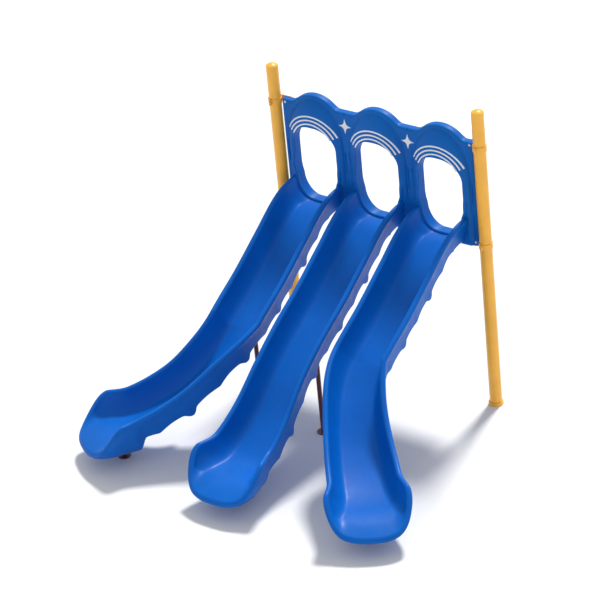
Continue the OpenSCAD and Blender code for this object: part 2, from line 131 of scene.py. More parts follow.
# The doorway's foot and the start of the bed: a flat middle and a quarter oval each side
U_FLAT = 0.05
U_W = 0.2
U_H = 0.25
U_BLEND = 0.15
PAD_TOP = ENTRY_H + WALL_H + 0.008
ARC_Z = DECK + 0.671
ARC_RADII = (0.245, 0.285, 0.325)
ARC_W = 0.015
ARC_SPREAD = 64
STAR_Z = DECK + 0.951
STAR_ARMS = (0.078, 0.084)
STAR_WAIST = 0.016
DOME_FROM = 2.5
DOME_RISE = 0.5
SURROUND = 0.03
SURROUND_HALF = 0.305
GROOVE_GAP = 0.026
GROOVE_W = 0.006
GROOVE_T = 0.013


class SLIDE_PG_plastic(bpy.types.PropertyGroup):
    rim_radius: FloatProperty(
        name="Rim radius", description="Radius of the rolled rims of a chute",
        default=0.03, min=0.018, max=0.04, subtype="DISTANCE", unit="LENGTH",
    )
    lip_radius: FloatProperty(
        name="Lip radius", description="Radius of the rolled edge at the tip of the nose",
        default=0.028, min=0.01, max=0.04, subtype="DISTANCE", unit="LENGTH",
    )
    dome: FloatProperty(
        name="Dome", description="How far each door surround bulges forward",
        default=0.088, min=0.04, max=0.09, subtype="DISTANCE", unit="LENGTH",
    )
    bead: FloatProperty(
        name="Door bead", description="Radius of the bead round each doorway",
        default=0.02, min=0.01, max=0.03, subtype="DISTANCE", unit="LENGTH",
    )


class SLIDE_PG_finish(bpy.types.PropertyGroup):
    chute: FloatVectorProperty(
        name="Chute blue", description="Colour of the chutes", subtype="COLOR", size=3,
        default=(0.0, 0.118, 0.52), min=0, max=1,
    )
    hood: FloatVectorProperty(
        name="Hood blue", description="Colour of the entry hood", subtype="COLOR", size=3,
        default=(0.0, 0.12, 0.48), min=0, max=1,
    )
    trim: FloatVectorProperty(
        name="Trim white", description="Colour of the arcs and stars", subtype="COLOR", size=3,
        default=(0.82, 0.84, 0.86), min=0, max=1,
    )
    posts: FloatVectorProperty(
        name="Post yellow", description="Powder coat of the posts and clamps", subtype="COLOR",
        size=3, default=(0.98, 0.47, 0.035), min=0, max=1,
    )
    legs: FloatVectorProperty(
        name="Leg maroon", description="Powder coat of the support legs", subtype="COLOR",
        size=3, default=(0.12, 0.008, 0.012), min=0, max=1,
    )


class SLIDE_PG_stage(bpy.types.PropertyGroup):
    lens: FloatProperty(
        name="Lens", description="Focal length of the camera on a 36 mm sensor",
        default=186, min=50, max=300, subtype="DISTANCE_CAMERA", unit="CAMERA",
    )
    roll: FloatProperty(
        name="Roll", description="Tilt of the camera about its view axis",
        default=math.radians(5.7), min=-0.2, max=0.2, subtype="ANGLE", unit="ROTATION",
    )
    sun: FloatProperty(
        name="Sun", description="Strength of the key light", default=3.1, min=0, max=10,
    )
    sky: FloatProperty(
        name="Sky", description="Strength of the even light from all round", default=0.62,
        min=0, max=4,
    )


# Shared helpers


def smooth(t):
    c = np.clip(t, 0, 1)
    return c * c * (3 - 2 * c)


def bezier(a, b, c, d, t):
    t = t[:, None]
    a, b, c, d = (np.asarray(p, float) for p in (a, b, c, d))
    return a * (1 - t) ** 3 + b * 3 * t * (1 - t) ** 2 + c * 3 * t * t * (1 - t) + d * t ** 3


def grid_faces(index, wrap=False):
    """Quads between the rows of an index array; wrap joins the last column to the first."""
    if wrap:
        index = np.hstack([index, index[:, :1]])
    a, b, c, d = index[:-1, :-1], index[:-1, 1:], index[1:, 1:], index[1:, :-1]
    return np.stack([a, b, c, d], -1).reshape(-1, 4).tolist()


def make_piece(name, points, faces, material, replaces=(), crease=35, wear=None):
    """One smooth mesh object that rides on the frame and stands for the named CAD nodes."""
    mesh = bpy.data.meshes.new(name)
    mesh.from_pydata([tuple(p) for p in points], [], faces)
    if wear is not None:
        layer = mesh.attributes.new("wear", "FLOAT", "POINT")
        layer.data.foreach_set("value", np.asarray(wear, np.float32))
    bm = bmesh.new()
    bm.from_mesh(mesh)
    bmesh.ops.remove_doubles(bm, verts=bm.verts, dist=2e-5)
    bmesh.ops.dissolve_degenerate(bm, edges=bm.edges, dist=1e-6)
    bmesh.ops.recalc_face_normals(bm, faces=bm.faces)
    for edge in bm.edges:
        if len(edge.link_faces) == 2 and edge.calc_face_angle(0) > math.radians(crease):
            edge.smooth = False
    for face in bm.faces:
        face.smooth = True
    bm.to_mesh(mesh)
    bm.free()
    obj = bpy.data.objects.new(name, mesh)
    bpy.context.scene.collection.objects.link(obj)
    mesh.materials.append(material)
    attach(obj, "root")
    if replaces:
        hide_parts(*replaces)
    return obj


# Finishes


class Nodes:
    """A material's node tree, with short calls for the nodes that the finishes share."""

    def __init__(self, name):
        old = bpy.data.materials.get(name)
        self.material = old or bpy.data.materials.new(name)
        self.material.use_nodes = True
        self.tree = self.material.node_tree
        self.tree.nodes.clear()
        self.out = self.add("ShaderNodeOutputMaterial")
        self.shader = self.add("ShaderNodeBsdfPrincipled")
        self.link(self.shader.outputs[0], self.out.inputs["Surface"])
        self.place = self.add("ShaderNodeTexCoord").outputs["Object"]

    def add(self, kind, **values):
        node = self.tree.nodes.new(kind)
        for key, value in values.items():
            setattr(node, key, value)
        return node

    def link(self, a, b):
        self.tree.links.new(a, b)

    def noise(self, scale, detail=3, rough=0.5, stretch=None):
        node = self.add("ShaderNodeTexNoise")
        node.inputs["Scale"].default_value = scale
        node.inputs["Detail"].default_value = detail
        node.inputs["Roughness"].default_value = rough
        source = self.place
        if stretch:
            mapping = self.add("ShaderNodeMapping")
            mapping.inputs["Scale"].default_value = stretch
            self.link(self.place, mapping.inputs["Vector"])
            source = mapping.outputs[0]
        self.link(source, node.inputs["Vector"])
        return node.outputs["Fac"]

    def ranged(self, value, low, high, to_low, to_high):
        node = self.add("ShaderNodeMapRange")
        for key, number in zip(("From Min", "From Max", "To Min", "To Max"), (low, high, to_low, to_high)):
            node.inputs[key].default_value = number
        self.link(value, node.inputs["Value"])
        return node.outputs[0]

    def mixed(self, factor, a, b):
        node = self.add("ShaderNodeMix", data_type="RGBA")
        self.link(factor, node.inputs["Factor"])
        for socket, value in ((node.inputs[6], a), (node.inputs[7], b)):
            if isinstance(value, tuple):
                socket.default_value = (*value, 1)
            else:
                self.link(value, socket)
        return node.outputs[2]

    def bumped(self, height, distance, strength=1.0, under=None):
        node = self.add("ShaderNodeBump")
        node.inputs["Distance"].default_value = distance
        node.inputs["Strength"].default_value = strength
        self.link(height, node.inputs["Height"])
        if under is not None:
            self.link(under, node.inputs["Normal"])
        return node.outputs[0]

    def set(self, **values):
        for key, value in values.items():
            self.shader.inputs[key.replace("_", " ")].default_value = value


def scaled(colour, share, lift=0.0):
    return tuple(min(1.0, c * share + lift) for c in colour)


def moulded_plastic(name, colour, rough=(0.36, 0.52), worn=True):
    """Rotationally moulded plastic: faint cloudiness, a fine matt grain, a slow ripple and scuffs."""
    n = Nodes(name)
    cloud = n.ranged(n.noise(2.2, 4, 0.55), 0.3, 0.7, 0, 1)
    base = n.mixed(cloud, scaled(colour, 0.93), scaled(colour, 1.07))
    speck = n.ranged(n.noise(260, 2), 0.62, 0.75, 0, 0.22)
    base = n.mixed(speck, base, scaled(colour, 1.35, 0.004))
    scuff_map = n.noise(16, 8, 0.72, (1, 0.16, 0.3))
    scuff = n.ranged(scuff_map, 0.56, 0.78, 0, 1)
    if worn:
        wear = n.add("ShaderNodeAttribute", attribute_name="wear").outputs["Fac"]
        amount = n.add("ShaderNodeMath", operation="MULTIPLY")
        n.link(scuff, amount.inputs[0])
        n.link(wear, amount.inputs[1])
        scuff = amount.outputs[0]
    shown = n.ranged(scuff, 0, 1, 0, 0.3)
    base = n.mixed(shown, base, scaled(colour, 1.25, 0.012))
    n.link(base, n.shader.inputs["Base Color"])
    gloss = n.ranged(n.noise(9, 5, 0.6), 0.3, 0.7, *rough)
    n.link(gloss, n.shader.inputs["Roughness"])
    ripple = n.bumped(n.noise(7, 2), 0.0016, 0.6)
    grain = n.bumped(n.noise(620, 3, 0.6), 0.00022, 0.8, ripple)
    n.link(grain, n.shader.inputs["Normal"])
    n.shader.inputs["IOR"].default_value = 1.46
    n.shader.inputs["Specular IOR Level"].default_value = 0.16
    n.shader.inputs["Coat Weight"].default_value = 0.05
    n.shader.inputs["Coat Roughness"].default_value = 0.25
    return n.material


def powder_coat(name, colour, rough=(0.28, 0.4), chips=None):
    """Baked powder coat on steel: orange peel, a slight tone change and a few dull marks."""
    n = Nodes(name)
    cloud = n.ranged(n.noise(5, 4), 0.3, 0.7, 0, 1)
    base = n.mixed(cloud, scaled(colour, 0.94), scaled(colour, 1.05))
    marks = n.ranged(n.noise(38, 7, 0.7), 0.66, 0.74, 0, 0.35)
    base = n.mixed(marks, base, chips or scaled(colour, 0.62))
    n.link(base, n.shader.inputs["Base Color"])
    n.link(n.ranged(n.noise(14, 5), 0.3, 0.7, *rough), n.shader.inputs["Roughness"])
    bevel = n.add("ShaderNodeBevel", samples=4)
    bevel.inputs["Radius"].default_value = 0.0016
    peel = n.bumped(n.noise(340, 2), 0.00025, 0.7, bevel.outputs[0])
    n.link(peel, n.shader.inputs["Normal"])
    n.shader.inputs["Coat Weight"].default_value = 0.25
    n.shader.inputs["Coat Roughness"].default_value = 0.15
    return n.material


def zinc_plate(name):
    """Zinc plated fasteners: soft spangle with duller patches."""
    n = Nodes(name)
    cells = n.add("ShaderNodeTexVoronoi", feature="F1")
    cells.inputs["Scale"].default_value = 420
    n.link(n.place, cells.inputs["Vector"])
    spangle = n.ranged(cells.outputs["Distance"], 0, 0.6, 0, 1)
    n.link(n.mixed(spangle, (0.52, 0.54, 0.56), (0.68, 0.7, 0.71)), n.shader.inputs["Base Color"])
    n.link(n.ranged(n.noise(90, 5), 0.3, 0.7, 0.28, 0.5), n.shader.inputs["Roughness"])
    n.set(Metallic=1.0)
    n.link(n.bumped(n.noise(900, 2), 0.0001, 0.5), n.shader.inputs["Normal"])
    return n.material


# Chutes


class Lane:
    """Centre line of one chute; r is the level distance from the posts, along -Y."""

    def __init__(self, side):
        self.side = side
        self.tip = FRONT - (SIDE_SHORT if side else 0)
        dx = self.x(self.tip) - self.x(self.tip - 0.1)
        self.stretch = math.hypot(dx, 0.1) / 0.1

    def x(self, r):
        return self.side * (PITCH + VEER * smooth((r - VEER_START) / VEER_RUN))

    def z(self, r):
        x, y = WAVE.T
        slope = np.zeros_like(y)
        slope[1:-1] = (y[2:] - y[:-2]) / (x[2:] - x[:-2])
        u = np.clip((r - ENTRY_Y) / LEVEL_RUN, 0, 1)
        i = np.clip(np.searchsorted(x, u, side="right") - 1, 0, len(x) - 2)
        w = x[i + 1] - x[i]
        t = (u - x[i]) / w
        share = (y[i] * (2 * t ** 3 - 3 * t ** 2 + 1) + slope[i] * w * (t ** 3 - 2 * t ** 2 + t)
                 + y[i + 1] * (3 * t ** 2 - 2 * t ** 3) + slope[i + 1] * w * (t ** 3 - t ** 2))
        return EXIT_H + (ENTRY_H - EXIT_H) * share

    def centre(self, r):
        r = np.asarray(r, float)
        return np.stack([self.x(r), POST_Y - r, self.z(r)], -1)

    def axes(self, r):
        ahead = self.centre(r + 0.002) - self.centre(r - 0.002)
        ahead /= np.linalg.norm(ahead, axis=-1, keepdims=True)
        across = np.stack([-ahead[..., 1], ahead[..., 0], 0 * ahead[..., 0]], -1)
        across /= np.linalg.norm(across, axis=-1, keepdims=True)
        return across, np.cross(ahead, across)

    def place(self, r, w, y):
        across, up = self.axes(r)
        return self.centre(r) + across * w[..., None] + up * y[..., None]

    def to_tip(self, r):
        return (self.tip - r) * self.stretch

    def r_at(self, d):
        return self.tip - d / self.stretch


N_BED = 8
N_WALL = 18
N_RIM = 15
N_SIDE = 22
N_UNDER = 8
BED_T = np.linspace(0, 1, N_BED + 1)[:-1]
UNDER_T = np.linspace(1, 0, N_UNDER + 1)[1:]


def half_width(d):
    flare = sum(share * smooth((start - d) / run) for share, start, run in (SLOW_FLARE, NOSE_FLARE))
    return CHUTE_W / 2 + EXIT_FLARE / 2 * flare


def rib_line(r):
    """Depth of the shell below the bed: arches between rounded cross ribs."""
    phase = (r - FIRST_RIB) / RIB_STEP
    arch = 0.4 if r < FIRST_RIB - RIB_STEP else abs(math.sin(math.pi * phase))
    near = phase - 1 - 2 * round((phase - 1) / 2)
    lump = LUMP * math.exp(-(near / LUMP_W) ** 4) if phase > -0.5 else 0
    return SHELL_T + RIB_DEPTH * (1 - arch) + lump


def chute_profile(r, d, look):
    """Half of a section at r, d from the tip, from the bed out over the rim to the underside.

    Gives the half width and, for each point, the offset out from the centre line, the
    height, and the share of the drop down to the bottom of the bowl.
    """
    hw = float(half_width(d))
    rr = look.lip_radius + (look.rim_radius - look.lip_radius) * float(smooth(d / LIP_BLEND))
    dip = float(smooth((d - WALL_FADE_FROM) / WALL_FADE))
    h = LIP_H + (WALL_H - LIP_H) * dip
    wall_w = WALL_RUN * hw * 2 / (CHUTE_W + EXIT_FLARE / 2) * (0.6 + 0.4 * dip)
    depth = rib_line(r)
    bowl = float(smooth((BOWL_FROM - d) / BOWL_EDGE))
    entry = 1 - float(smooth((r - ENTRY_Y) / U_BLEND))
    foot = hw - 2 * rr - wall_w
    top = h - rr
    t = np.linspace(0, 1, N_WALL + 1)[:-1]
    start = math.radians(96 + 84 * min(1.0, dip * 2.2))
    meet = np.array((hw - rr + rr * math.cos(start), top + rr * math.sin(start)))
    pull = 0.36 * math.hypot(meet[0] - foot, meet[1])
    lead = meet - pull * np.array((math.sin(start), -math.cos(start)))
    lean = 0.4 * wall_w * dip
    wall = bezier((foot - 0.02, 0), (foot + 0.42 * wall_w, 0), lead - (lean * 0.25, 0), meet, t)
    if entry > 0:
        a = t * math.radians(79.6)
        wall_u = np.stack([U_FLAT + U_W * np.sin(a), U_H * (1 - np.cos(a))], -1)
        wall = wall * (1 - entry) + wall_u * entry
    a = np.linspace(start, math.radians(-52), N_RIM)
    rim = np.stack([hw - rr + rr * np.cos(a), top + rr * np.sin(a)], -1)
    edge = rim[-1]
    low = hw - TUCK
    t = np.linspace(0, 1, N_SIDE + 1)[1:]
    split = 0.62
    n_a = int(N_SIDE * split)
    ta = np.linspace(0, 1, n_a + 1)[1:]
    tb = np.linspace(0, 1, N_SIDE - n_a + 1)[1:]
    corner = (low + 0.004, -0.4 * depth)
    plain = np.vstack([
        bezier(edge, (edge[0] - 0.5 * rr, edge[1] - 0.5 * rr), (low + 0.022, 0.32 * top), corner, ta),
        bezier(corner, (low - 0.001, -0.85 * depth), (low - 0.01, -depth), (low - 0.04, -depth), tb),
    ])
    # Bowl: height is y0 plus a share of the drop
    b0, b1, b2, b3 = (1 - t) ** 3, 3 * t * (1 - t) ** 2, 3 * t * t * (1 - t), t ** 3
    hull_x = b0 * edge[0] + b1 * (hw - 0.02) + b2 * (low - 0.015) + b3 * (0.46 * low)
    hull_y = (b0 + 0.55 * b1) * edge[1]
    hull_q = 0.45 * b1 + b2 + b3
    side_x = plain[:, 0] * (1 - bowl) + hull_x * bowl
    side_y = plain[:, 1] * (1 - bowl) + hull_y * bowl
    side_q = hull_q * bowl
    x = np.concatenate([wall[:, 0], rim[:, 0], side_x])
    y = np.concatenate([wall[:, 1], rim[:, 1], side_y])
    q = np.concatenate([0 * wall[:, 0], 0 * rim[:, 0], side_q])
    return hw, x, y, q


def bed_curl(d):
    """How far the bed has dropped towards the tip of the nose."""
    return -NOSE_DROP * np.clip((NOSE_DROP_LEN - d) / NOSE_DROP_LEN, 0, 1) ** 2


def chute_points(lane, look):
    """Rings of the run, then the fan of the nose, as one grid of half profiles each."""
    pad_slope = float(lane.z(LEG_REACH - 0.12) - lane.z(LEG_REACH + 0.12)) / 0.24
    pad_z = float(lane.z(LEG_REACH)) - (SHELL_T + RIB_DEPTH) / math.cos(math.atan(pad_slope))
    end = lane.r_at(NOSE_LEN)
    stations = np.linspace(ENTRY_Y, end, 188)
    rings, wears = [], []
    for r in stations:
        d = float(lane.to_tip(r))
        _, x, y, q = chute_profile(r, d, look)
        x = np.concatenate([BED_T * x[0], x, UNDER_T * x[-1]])
        y = np.concatenate([0 * BED_T, y, y[-1] + 0 * UNDER_T])
        q = np.concatenate([0 * BED_T, q, q[-1] + 0 * UNDER_T])
        crown = BED_CROWN * (x / max(x[N_BED], 0.01)) ** 2
        y[:N_BED] += crown[:N_BED] - BED_CROWN
        x_full = np.concatenate([x, -x[-2:0:-1]])
        y_full = np.concatenate([y, y[-2:0:-1]])
        q_full = np.concatenate([q, q[-2:0:-1]])
        low = NOSE_LOW - float(lane.z(r))
        p = lane.place(np.full(len(x_full), r), x_full, y_full + q_full * low)
        under = np.zeros(len(x))
        under[-(N_UNDER + 7):] = smooth(np.linspace(0.15, 1, 7 + N_UNDER) * 2.2)
        on_saddle = float(1 - smooth((abs(r - LEG_REACH) - SADDLE_HALF) / 0.06))
        pad = np.concatenate([under, under[-2:0:-1]]) * on_saddle
        pad_here = pad_z - pad_slope * ((POST_Y - p[:, 1]) - LEG_REACH)
        p[:, 2] = p[:, 2] * (1 - pad) + pad_here * pad
        rings.append(p)
        worn = np.zeros(len(x))
        worn[:N_BED + 8] = 1 - smooth(np.arange(N_BED + 8) / (N_BED + 7))
        wears.append(np.concatenate([worn, worn[-2:0:-1]]))
    rings = np.array(rings)
    columns, worn_columns = [], []
    power = 2 / NOSE_POWER
    for theta in np.radians(np.concatenate([
            np.linspace(0, 12, 8)[:-1], np.linspace(12, 78, 34)[:-1], np.linspace(78, 102, 15)[:-1],
            np.linspace(102, 168, 34)[:-1], np.linspace(168, 180, 8)])):
        c = math.copysign(abs(math.cos(theta)) ** power, math.cos(theta))
        c = 0.0 if abs(math.cos(theta)) < 1e-9 else c
        s = max(0.0, math.sin(theta)) ** power
        s = 0.0 if s < 1e-6 else s
        d0 = NOSE_LEN * (1 - s)
        hw, x, y, q = chute_profile(float(lane.r_at(d0)), d0, look)
        e = hw - x
        d_mid = NOSE_LEN - (NOSE_LEN - e) * s
        w_mid = (half_width(d_mid) - e) * c
        d_all = np.concatenate([NOSE_LEN + (d_mid[0] - NOSE_LEN) * BED_T, d_mid,
                                NOSE_LEN + (d_mid[-1] - NOSE_LEN) * UNDER_T])
        w_all = np.concatenate([BED_T * w_mid[0], w_mid, UNDER_T * w_mid[-1]])
        y_all = np.concatenate([0 * BED_T, y, y[-1] + 0 * UNDER_T])
        y_all[:N_BED] += BED_CROWN * BED_T ** 2 - BED_CROWN
        q_all = np.concatenate([0 * BED_T, q, q[-1] + 0 * UNDER_T])
        r_all = lane.r_at(d_all)
        low = NOSE_LOW - lane.z(r_all)
        columns.append(lane.place(r_all, w_all, y_all + bed_curl(d_all) * (1 - q_all) + q_all * low))
        worn = np.zeros(len(d_all))
        worn[:N_BED + 8] = 1 - smooth(np.arange(N_BED + 8) / (N_BED + 7))
        worn_columns.append(worn)
    return rings, np.array(columns), np.array(wears), np.array(worn_columns)


class SLIDE_OT_chutes(bpy.types.Operator):
    """Three moulded chutes with rolled rims, rounded noses and scalloped undersides"""

    bl_idname = "wave_slide.chutes"
    bl_label = "Chutes"

    def execute(self, context):
        look = context.scene.slide_plastic
        finish = context.scene.slide_finish
        material = moulded_plastic("chute_plastic", tuple(finish.chute))
        for name, side in LANES.items():
            rings, columns, worn, worn_nose = chute_points(Lane(side), look)
            m, n = rings.shape[:2]
            first = np.arange(m * n).reshape(m, n)
            nose = m * n + np.arange(columns.shape[0] * columns.shape[1]).reshape(columns.shape[:2])
            faces = grid_faces(first, wrap=True) + grid_faces(nose)
            faces.append(first[0].tolist())
            points = np.vstack([rings.reshape(-1, 3), columns.reshape(-1, 3)])
            make_piece("chute_skin_" + name, points, faces, material,
                       ["chute_" + name], 50, np.concatenate([worn.ravel(), worn_nose.ravel()]))
        return {"FINISHED"}


# Hood


def door_shape():
    """Right half of a doorway's outline, from the middle of its U up to the middle of its top."""
    a = np.radians(np.linspace(0, 75, 16))
    lower = np.stack([U_FLAT + U_W * np.sin(a), ENTRY_H + U_H * (1 - np.cos(a))], -1)
    w = DOOR_HALF
    middle = np.array([(w * 0.925, ENTRY_H + 0.24), (w * 0.975, ENTRY_H + 0.29), (w, ENTRY_H + 0.35),
                       (w, ENTRY_H + 0.45), (w, ENTRY_H + 0.55)])
    a = np.radians(np.linspace(0, 90, 22))
    upper = np.stack([w - 0.25 + 0.25 * np.cos(a), DOOR_TOP + 0.225 * (np.sin(a) - 1)], -1)
    return np.vstack([(0, ENTRY_H), lower, middle, upper, (0, DOOR_TOP)])


DOOR = door_shape()
DOOR_LOOP = np.vstack([DOOR, DOOR[-2:0:-1] * (-1, 1)])


def top_edge(dx):
    """Height of the hood's top over a place dx from the middle of a door."""
    arch = ARCH_Z + np.sqrt(np.maximum(ARCH_R ** 2 - dx ** 2, 0))
    arch = np.where(abs(dx) > ARCH_R, SHOULDER_Z - 0.2, arch)
    k = 0.045
    h = np.clip(0.5 + 0.5 * (arch - SHOULDER_Z) / k, 0, 1)
    return SHOULDER_Z + (arch - SHOULDER_Z) * h + k * h * (1 - h)


def in_door(dx, z):
    half = np.interp(z, DOOR[:, 1], DOOR[:, 0])
    return (z > ENTRY_H) & (z < DOOR_TOP) & (abs(dx) < half)


def in_cell(dx, z, left, right):
    return (dx > -left) & (dx < right) & (z > HOOD_LOW) & (z < top_edge(dx))


def along_rays(centre, angles, inside):
    """Distance along each ray at which it leaves a shape."""
    low, high = np.zeros(len(angles)), np.full(len(angles), 1.5)
    for _ in range(44):
        mid = (low + high) / 2
        ok = inside(centre[0] + mid * np.cos(angles), centre[1] + mid * np.sin(angles))
        low, high = np.where(ok, mid, low), np.where(ok, high, mid)
    return low


def distance_to(points, loop, closed=True):
    ends = np.roll(loop, -1, 0) if closed else loop[1:]
    a = loop if closed else loop[:-1]
    run = ends - a
    size = np.maximum((run ** 2).sum(-1), 1e-12)
    gap = points[:, None, :] - a[None]
    t = np.clip((gap * run).sum(-1) / size, 0, 1)
    return np.sqrt(((gap - run * t[..., None]) ** 2).sum(-1)).min(1)


def hood_loop():
    """Outline of the whole hood."""
    x = np.linspace(-HOOD_HALF, HOOD_HALF, 421)
    lane = np.clip(np.round(x / PITCH), -1, 1)
    top = np.stack([x, top_edge(x - lane * PITCH)], -1)
    return np.vstack([(-HOOD_HALF, HOOD_LOW), (HOOD_HALF, HOOD_LOW), top[::-1]])


HOOD_LOOP = hood_loop()


def round_off(distance, radius):
    t = np.clip(1 - distance / radius, 0, 1)
    return radius * (1 - np.sqrt(1 - t * t))


def swell(dx, z, dome):
    """How far the hood's skin stands forward of the posts' line, before its edges are rounded."""
    rise = np.maximum(0, z - DOME_FROM) * ARCH_R / DOME_RISE
    reach = np.sqrt(dx ** 2 + rise ** 2) / ARCH_R
    pillow = dome * np.clip(1 - reach ** 2.6, 0, 1) ** 0.62
    pad = SURROUND * (1 - smooth((abs(dx) - SURROUND_HALF) / 0.04))
    high = smooth((z - PAD_TOP + 0.02) / 0.16)
    forward = pad * (1 - high) + pillow * high
    for x in (PITCH / 2 - GROOVE_GAP, PITCH / 2 + GROOVE_GAP):
        line = np.exp(-((abs(dx) - x) / GROOVE_W) ** 2)
        forward = forward - GROOVE_T * line * smooth((z - 2.22) / 0.04) * smooth((DOME_FROM - z) / 0.04)
    return forward


class SLIDE_OT_hood(bpy.types.Operator):
    """Entry hood: one moulded sheet with three swelling surrounds and a bead round each doorway"""

    bl_idname = "wave_slide.hood"
    bl_label = "Hood"

    def execute(self, context):
        look = context.scene.slide_plastic
        colour = tuple(context.scene.slide_finish.hood)
        material = moulded_plastic("hood_plastic_finish", colour, (0.4, 0.55), False)
        outer = HOOD_HALF - PITCH
        heights = (HOOD_LOW, SHOULDER_Z)
        centre = (0.0, 2.3)
        half_turn = np.radians(np.linspace(-90, 90, 122))
        corners = [math.atan2(z - centre[1], x) for x in (PITCH / 2, outer) for z in heights]
        right = np.unique(np.concatenate([half_turn, corners]).round(9))
        angles = np.concatenate([right, (math.pi - right[1:-1])[::-1]])
        near = np.array([0, 0.0006, 0.0024, 0.0052, 0.009, 0.014, 0.021, 0.03])
        points, faces, count = [], [], 0
        for side in LANES.values():
            left = outer if side < 0 else PITCH / 2
            right_w = outer if side > 0 else PITCH / 2
            inner = along_rays(centre, angles, in_door)
            edge = along_rays(centre, angles, lambda dx, z: in_cell(dx, z, left, right_w))
            span = edge - inner
            steps = [inner + np.minimum(v, span * 0.3) for v in near]
            middle_from, middle_to = steps[-1], edge - np.minimum(near[-1], span * 0.3)
            steps += [middle_from + (middle_to - middle_from) * t for t in np.linspace(0, 1, 26)[1:-1]]
            steps += [edge - np.minimum(v, span * 0.3) for v in near[::-1]]
            out = np.array(steps)
            dx = centre[0] + out * np.cos(angles)
            z = centre[1] + out * np.sin(angles)
            flat = np.stack([dx.ravel() + side * PITCH, z.ravel()], -1)
            to_edge = distance_to(flat, HOOD_LOOP).reshape(dx.shape)
            to_door = distance_to(np.stack([dx.ravel(), z.ravel()], -1), DOOR_LOOP).reshape(dx.shape)
            forward = swell(dx, z, look.dome) - round_off(to_edge, 0.028) - round_off(to_door, 0.012)
            x = dx + side * PITCH
            front = np.stack([x, POST_Y - forward, z], -1)
            back_rows = np.linspace(0, 1, 5)
            bx = centre[0] + (inner + span * back_rows[:, None]) * np.cos(angles) + side * PITCH
            bz = centre[1] + (inner + span * back_rows[:, None]) * np.sin(angles)
            back = np.stack([bx, np.full_like(bx, POST_Y + HOOD_T), bz], -1)
            m, n = dx.shape
            fi = count + np.arange(m * n).reshape(m, n)
            bi = count + m * n + np.arange(5 * n).reshape(5, n)
            count += (m + 5) * n
            points += [front.reshape(-1, 3), back.reshape(-1, 3)]
            faces += grid_faces(fi, wrap=True) + grid_faces(bi, wrap=True)
            faces += grid_faces(np.array([fi[0], bi[0]]), wrap=True)
            seam = abs(abs(dx[-1]) - PITCH / 2) < 1e-6
            joined = seam & (dx[-1] * side <= 0)
            for j in range(n):
                k = (j + 1) % n
                if not (joined[j] and joined[k]):
                    faces.append([int(fi[-1, j]), int(fi[-1, k]), int(bi[-1, k]), int(bi[-1, j])])
        make_piece("hood_shell", np.vstack(points), faces, material, ["hood_panel"], 42)
        for name, side in LANES.items():
            self.bead(name, side, look, material)
        return {"FINISHED"}

    def bead(self, name, side, look, material):
        """A rounded bead that follows the doorway over the hood and across the start of the bed."""
        loop = []
        for i, p in enumerate(DOOR_LOOP):
            q = DOOR_LOOP[(i + 1) % len(DOOR_LOOP)]
            steps = max(1, int(np.linalg.norm(q - p) / 0.012))
            loop += [p + (q - p) * t / steps for t in range(steps)]
        loop = np.array(loop)
        ahead = np.roll(loop, -1, 0) - np.roll(loop, 1, 0)
        ahead /= np.linalg.norm(ahead, axis=1, keepdims=True)
        outward = np.stack([ahead[:, 1], -ahead[:, 0]], -1)
        low = smooth((2.16 - loop[:, 1]) / 0.14)
        sunk = smooth((loop[:, 1] - 2.2) / 0.22)
        offset = 0.014 * (1 - low)
        path = loop + outward * offset[:, None]
        forward = swell(path[:, 0], path[:, 1], look.dome) * (1 - low) + 0.05 * low - 0.003 - 0.034 * sunk
        radius = look.bead
        ring = np.linspace(0, 2 * math.pi, 17)[:-1]
        rows = []
        for (x, z), (ox, oz), f in zip(path, outward, forward):
            rows.append([
                (side * PITCH + x + ox * radius * math.cos(a), POST_Y - f - radius * 0.85 * math.sin(a),
                 z + oz * radius * math.cos(a)) for a in ring])
        rows = np.array(rows)
        index = np.arange(rows.shape[0] * len(ring)).reshape(-1, len(ring))
        index = np.vstack([index, index[:1]])
        faces = grid_faces(index, wrap=True)
        make_piece("door_bead_" + name, rows.reshape(-1, 3), faces, material)


# Trim


def plate_points(outline, side, dome, lift, rows):
    """Stacked copies of an outline on the hood's skin: each row is (share of the way in, lift)."""
    middle = outline.mean(0)
    out = []
    for share, height in rows:
        p = outline + (middle - outline) * share
        f = swell(p[:, 0], p[:, 1], dome) + height * lift
        out.append(np.stack([p[:, 0] + side * PITCH, POST_Y - f, p[:, 1]], -1))
    return np.array(out)


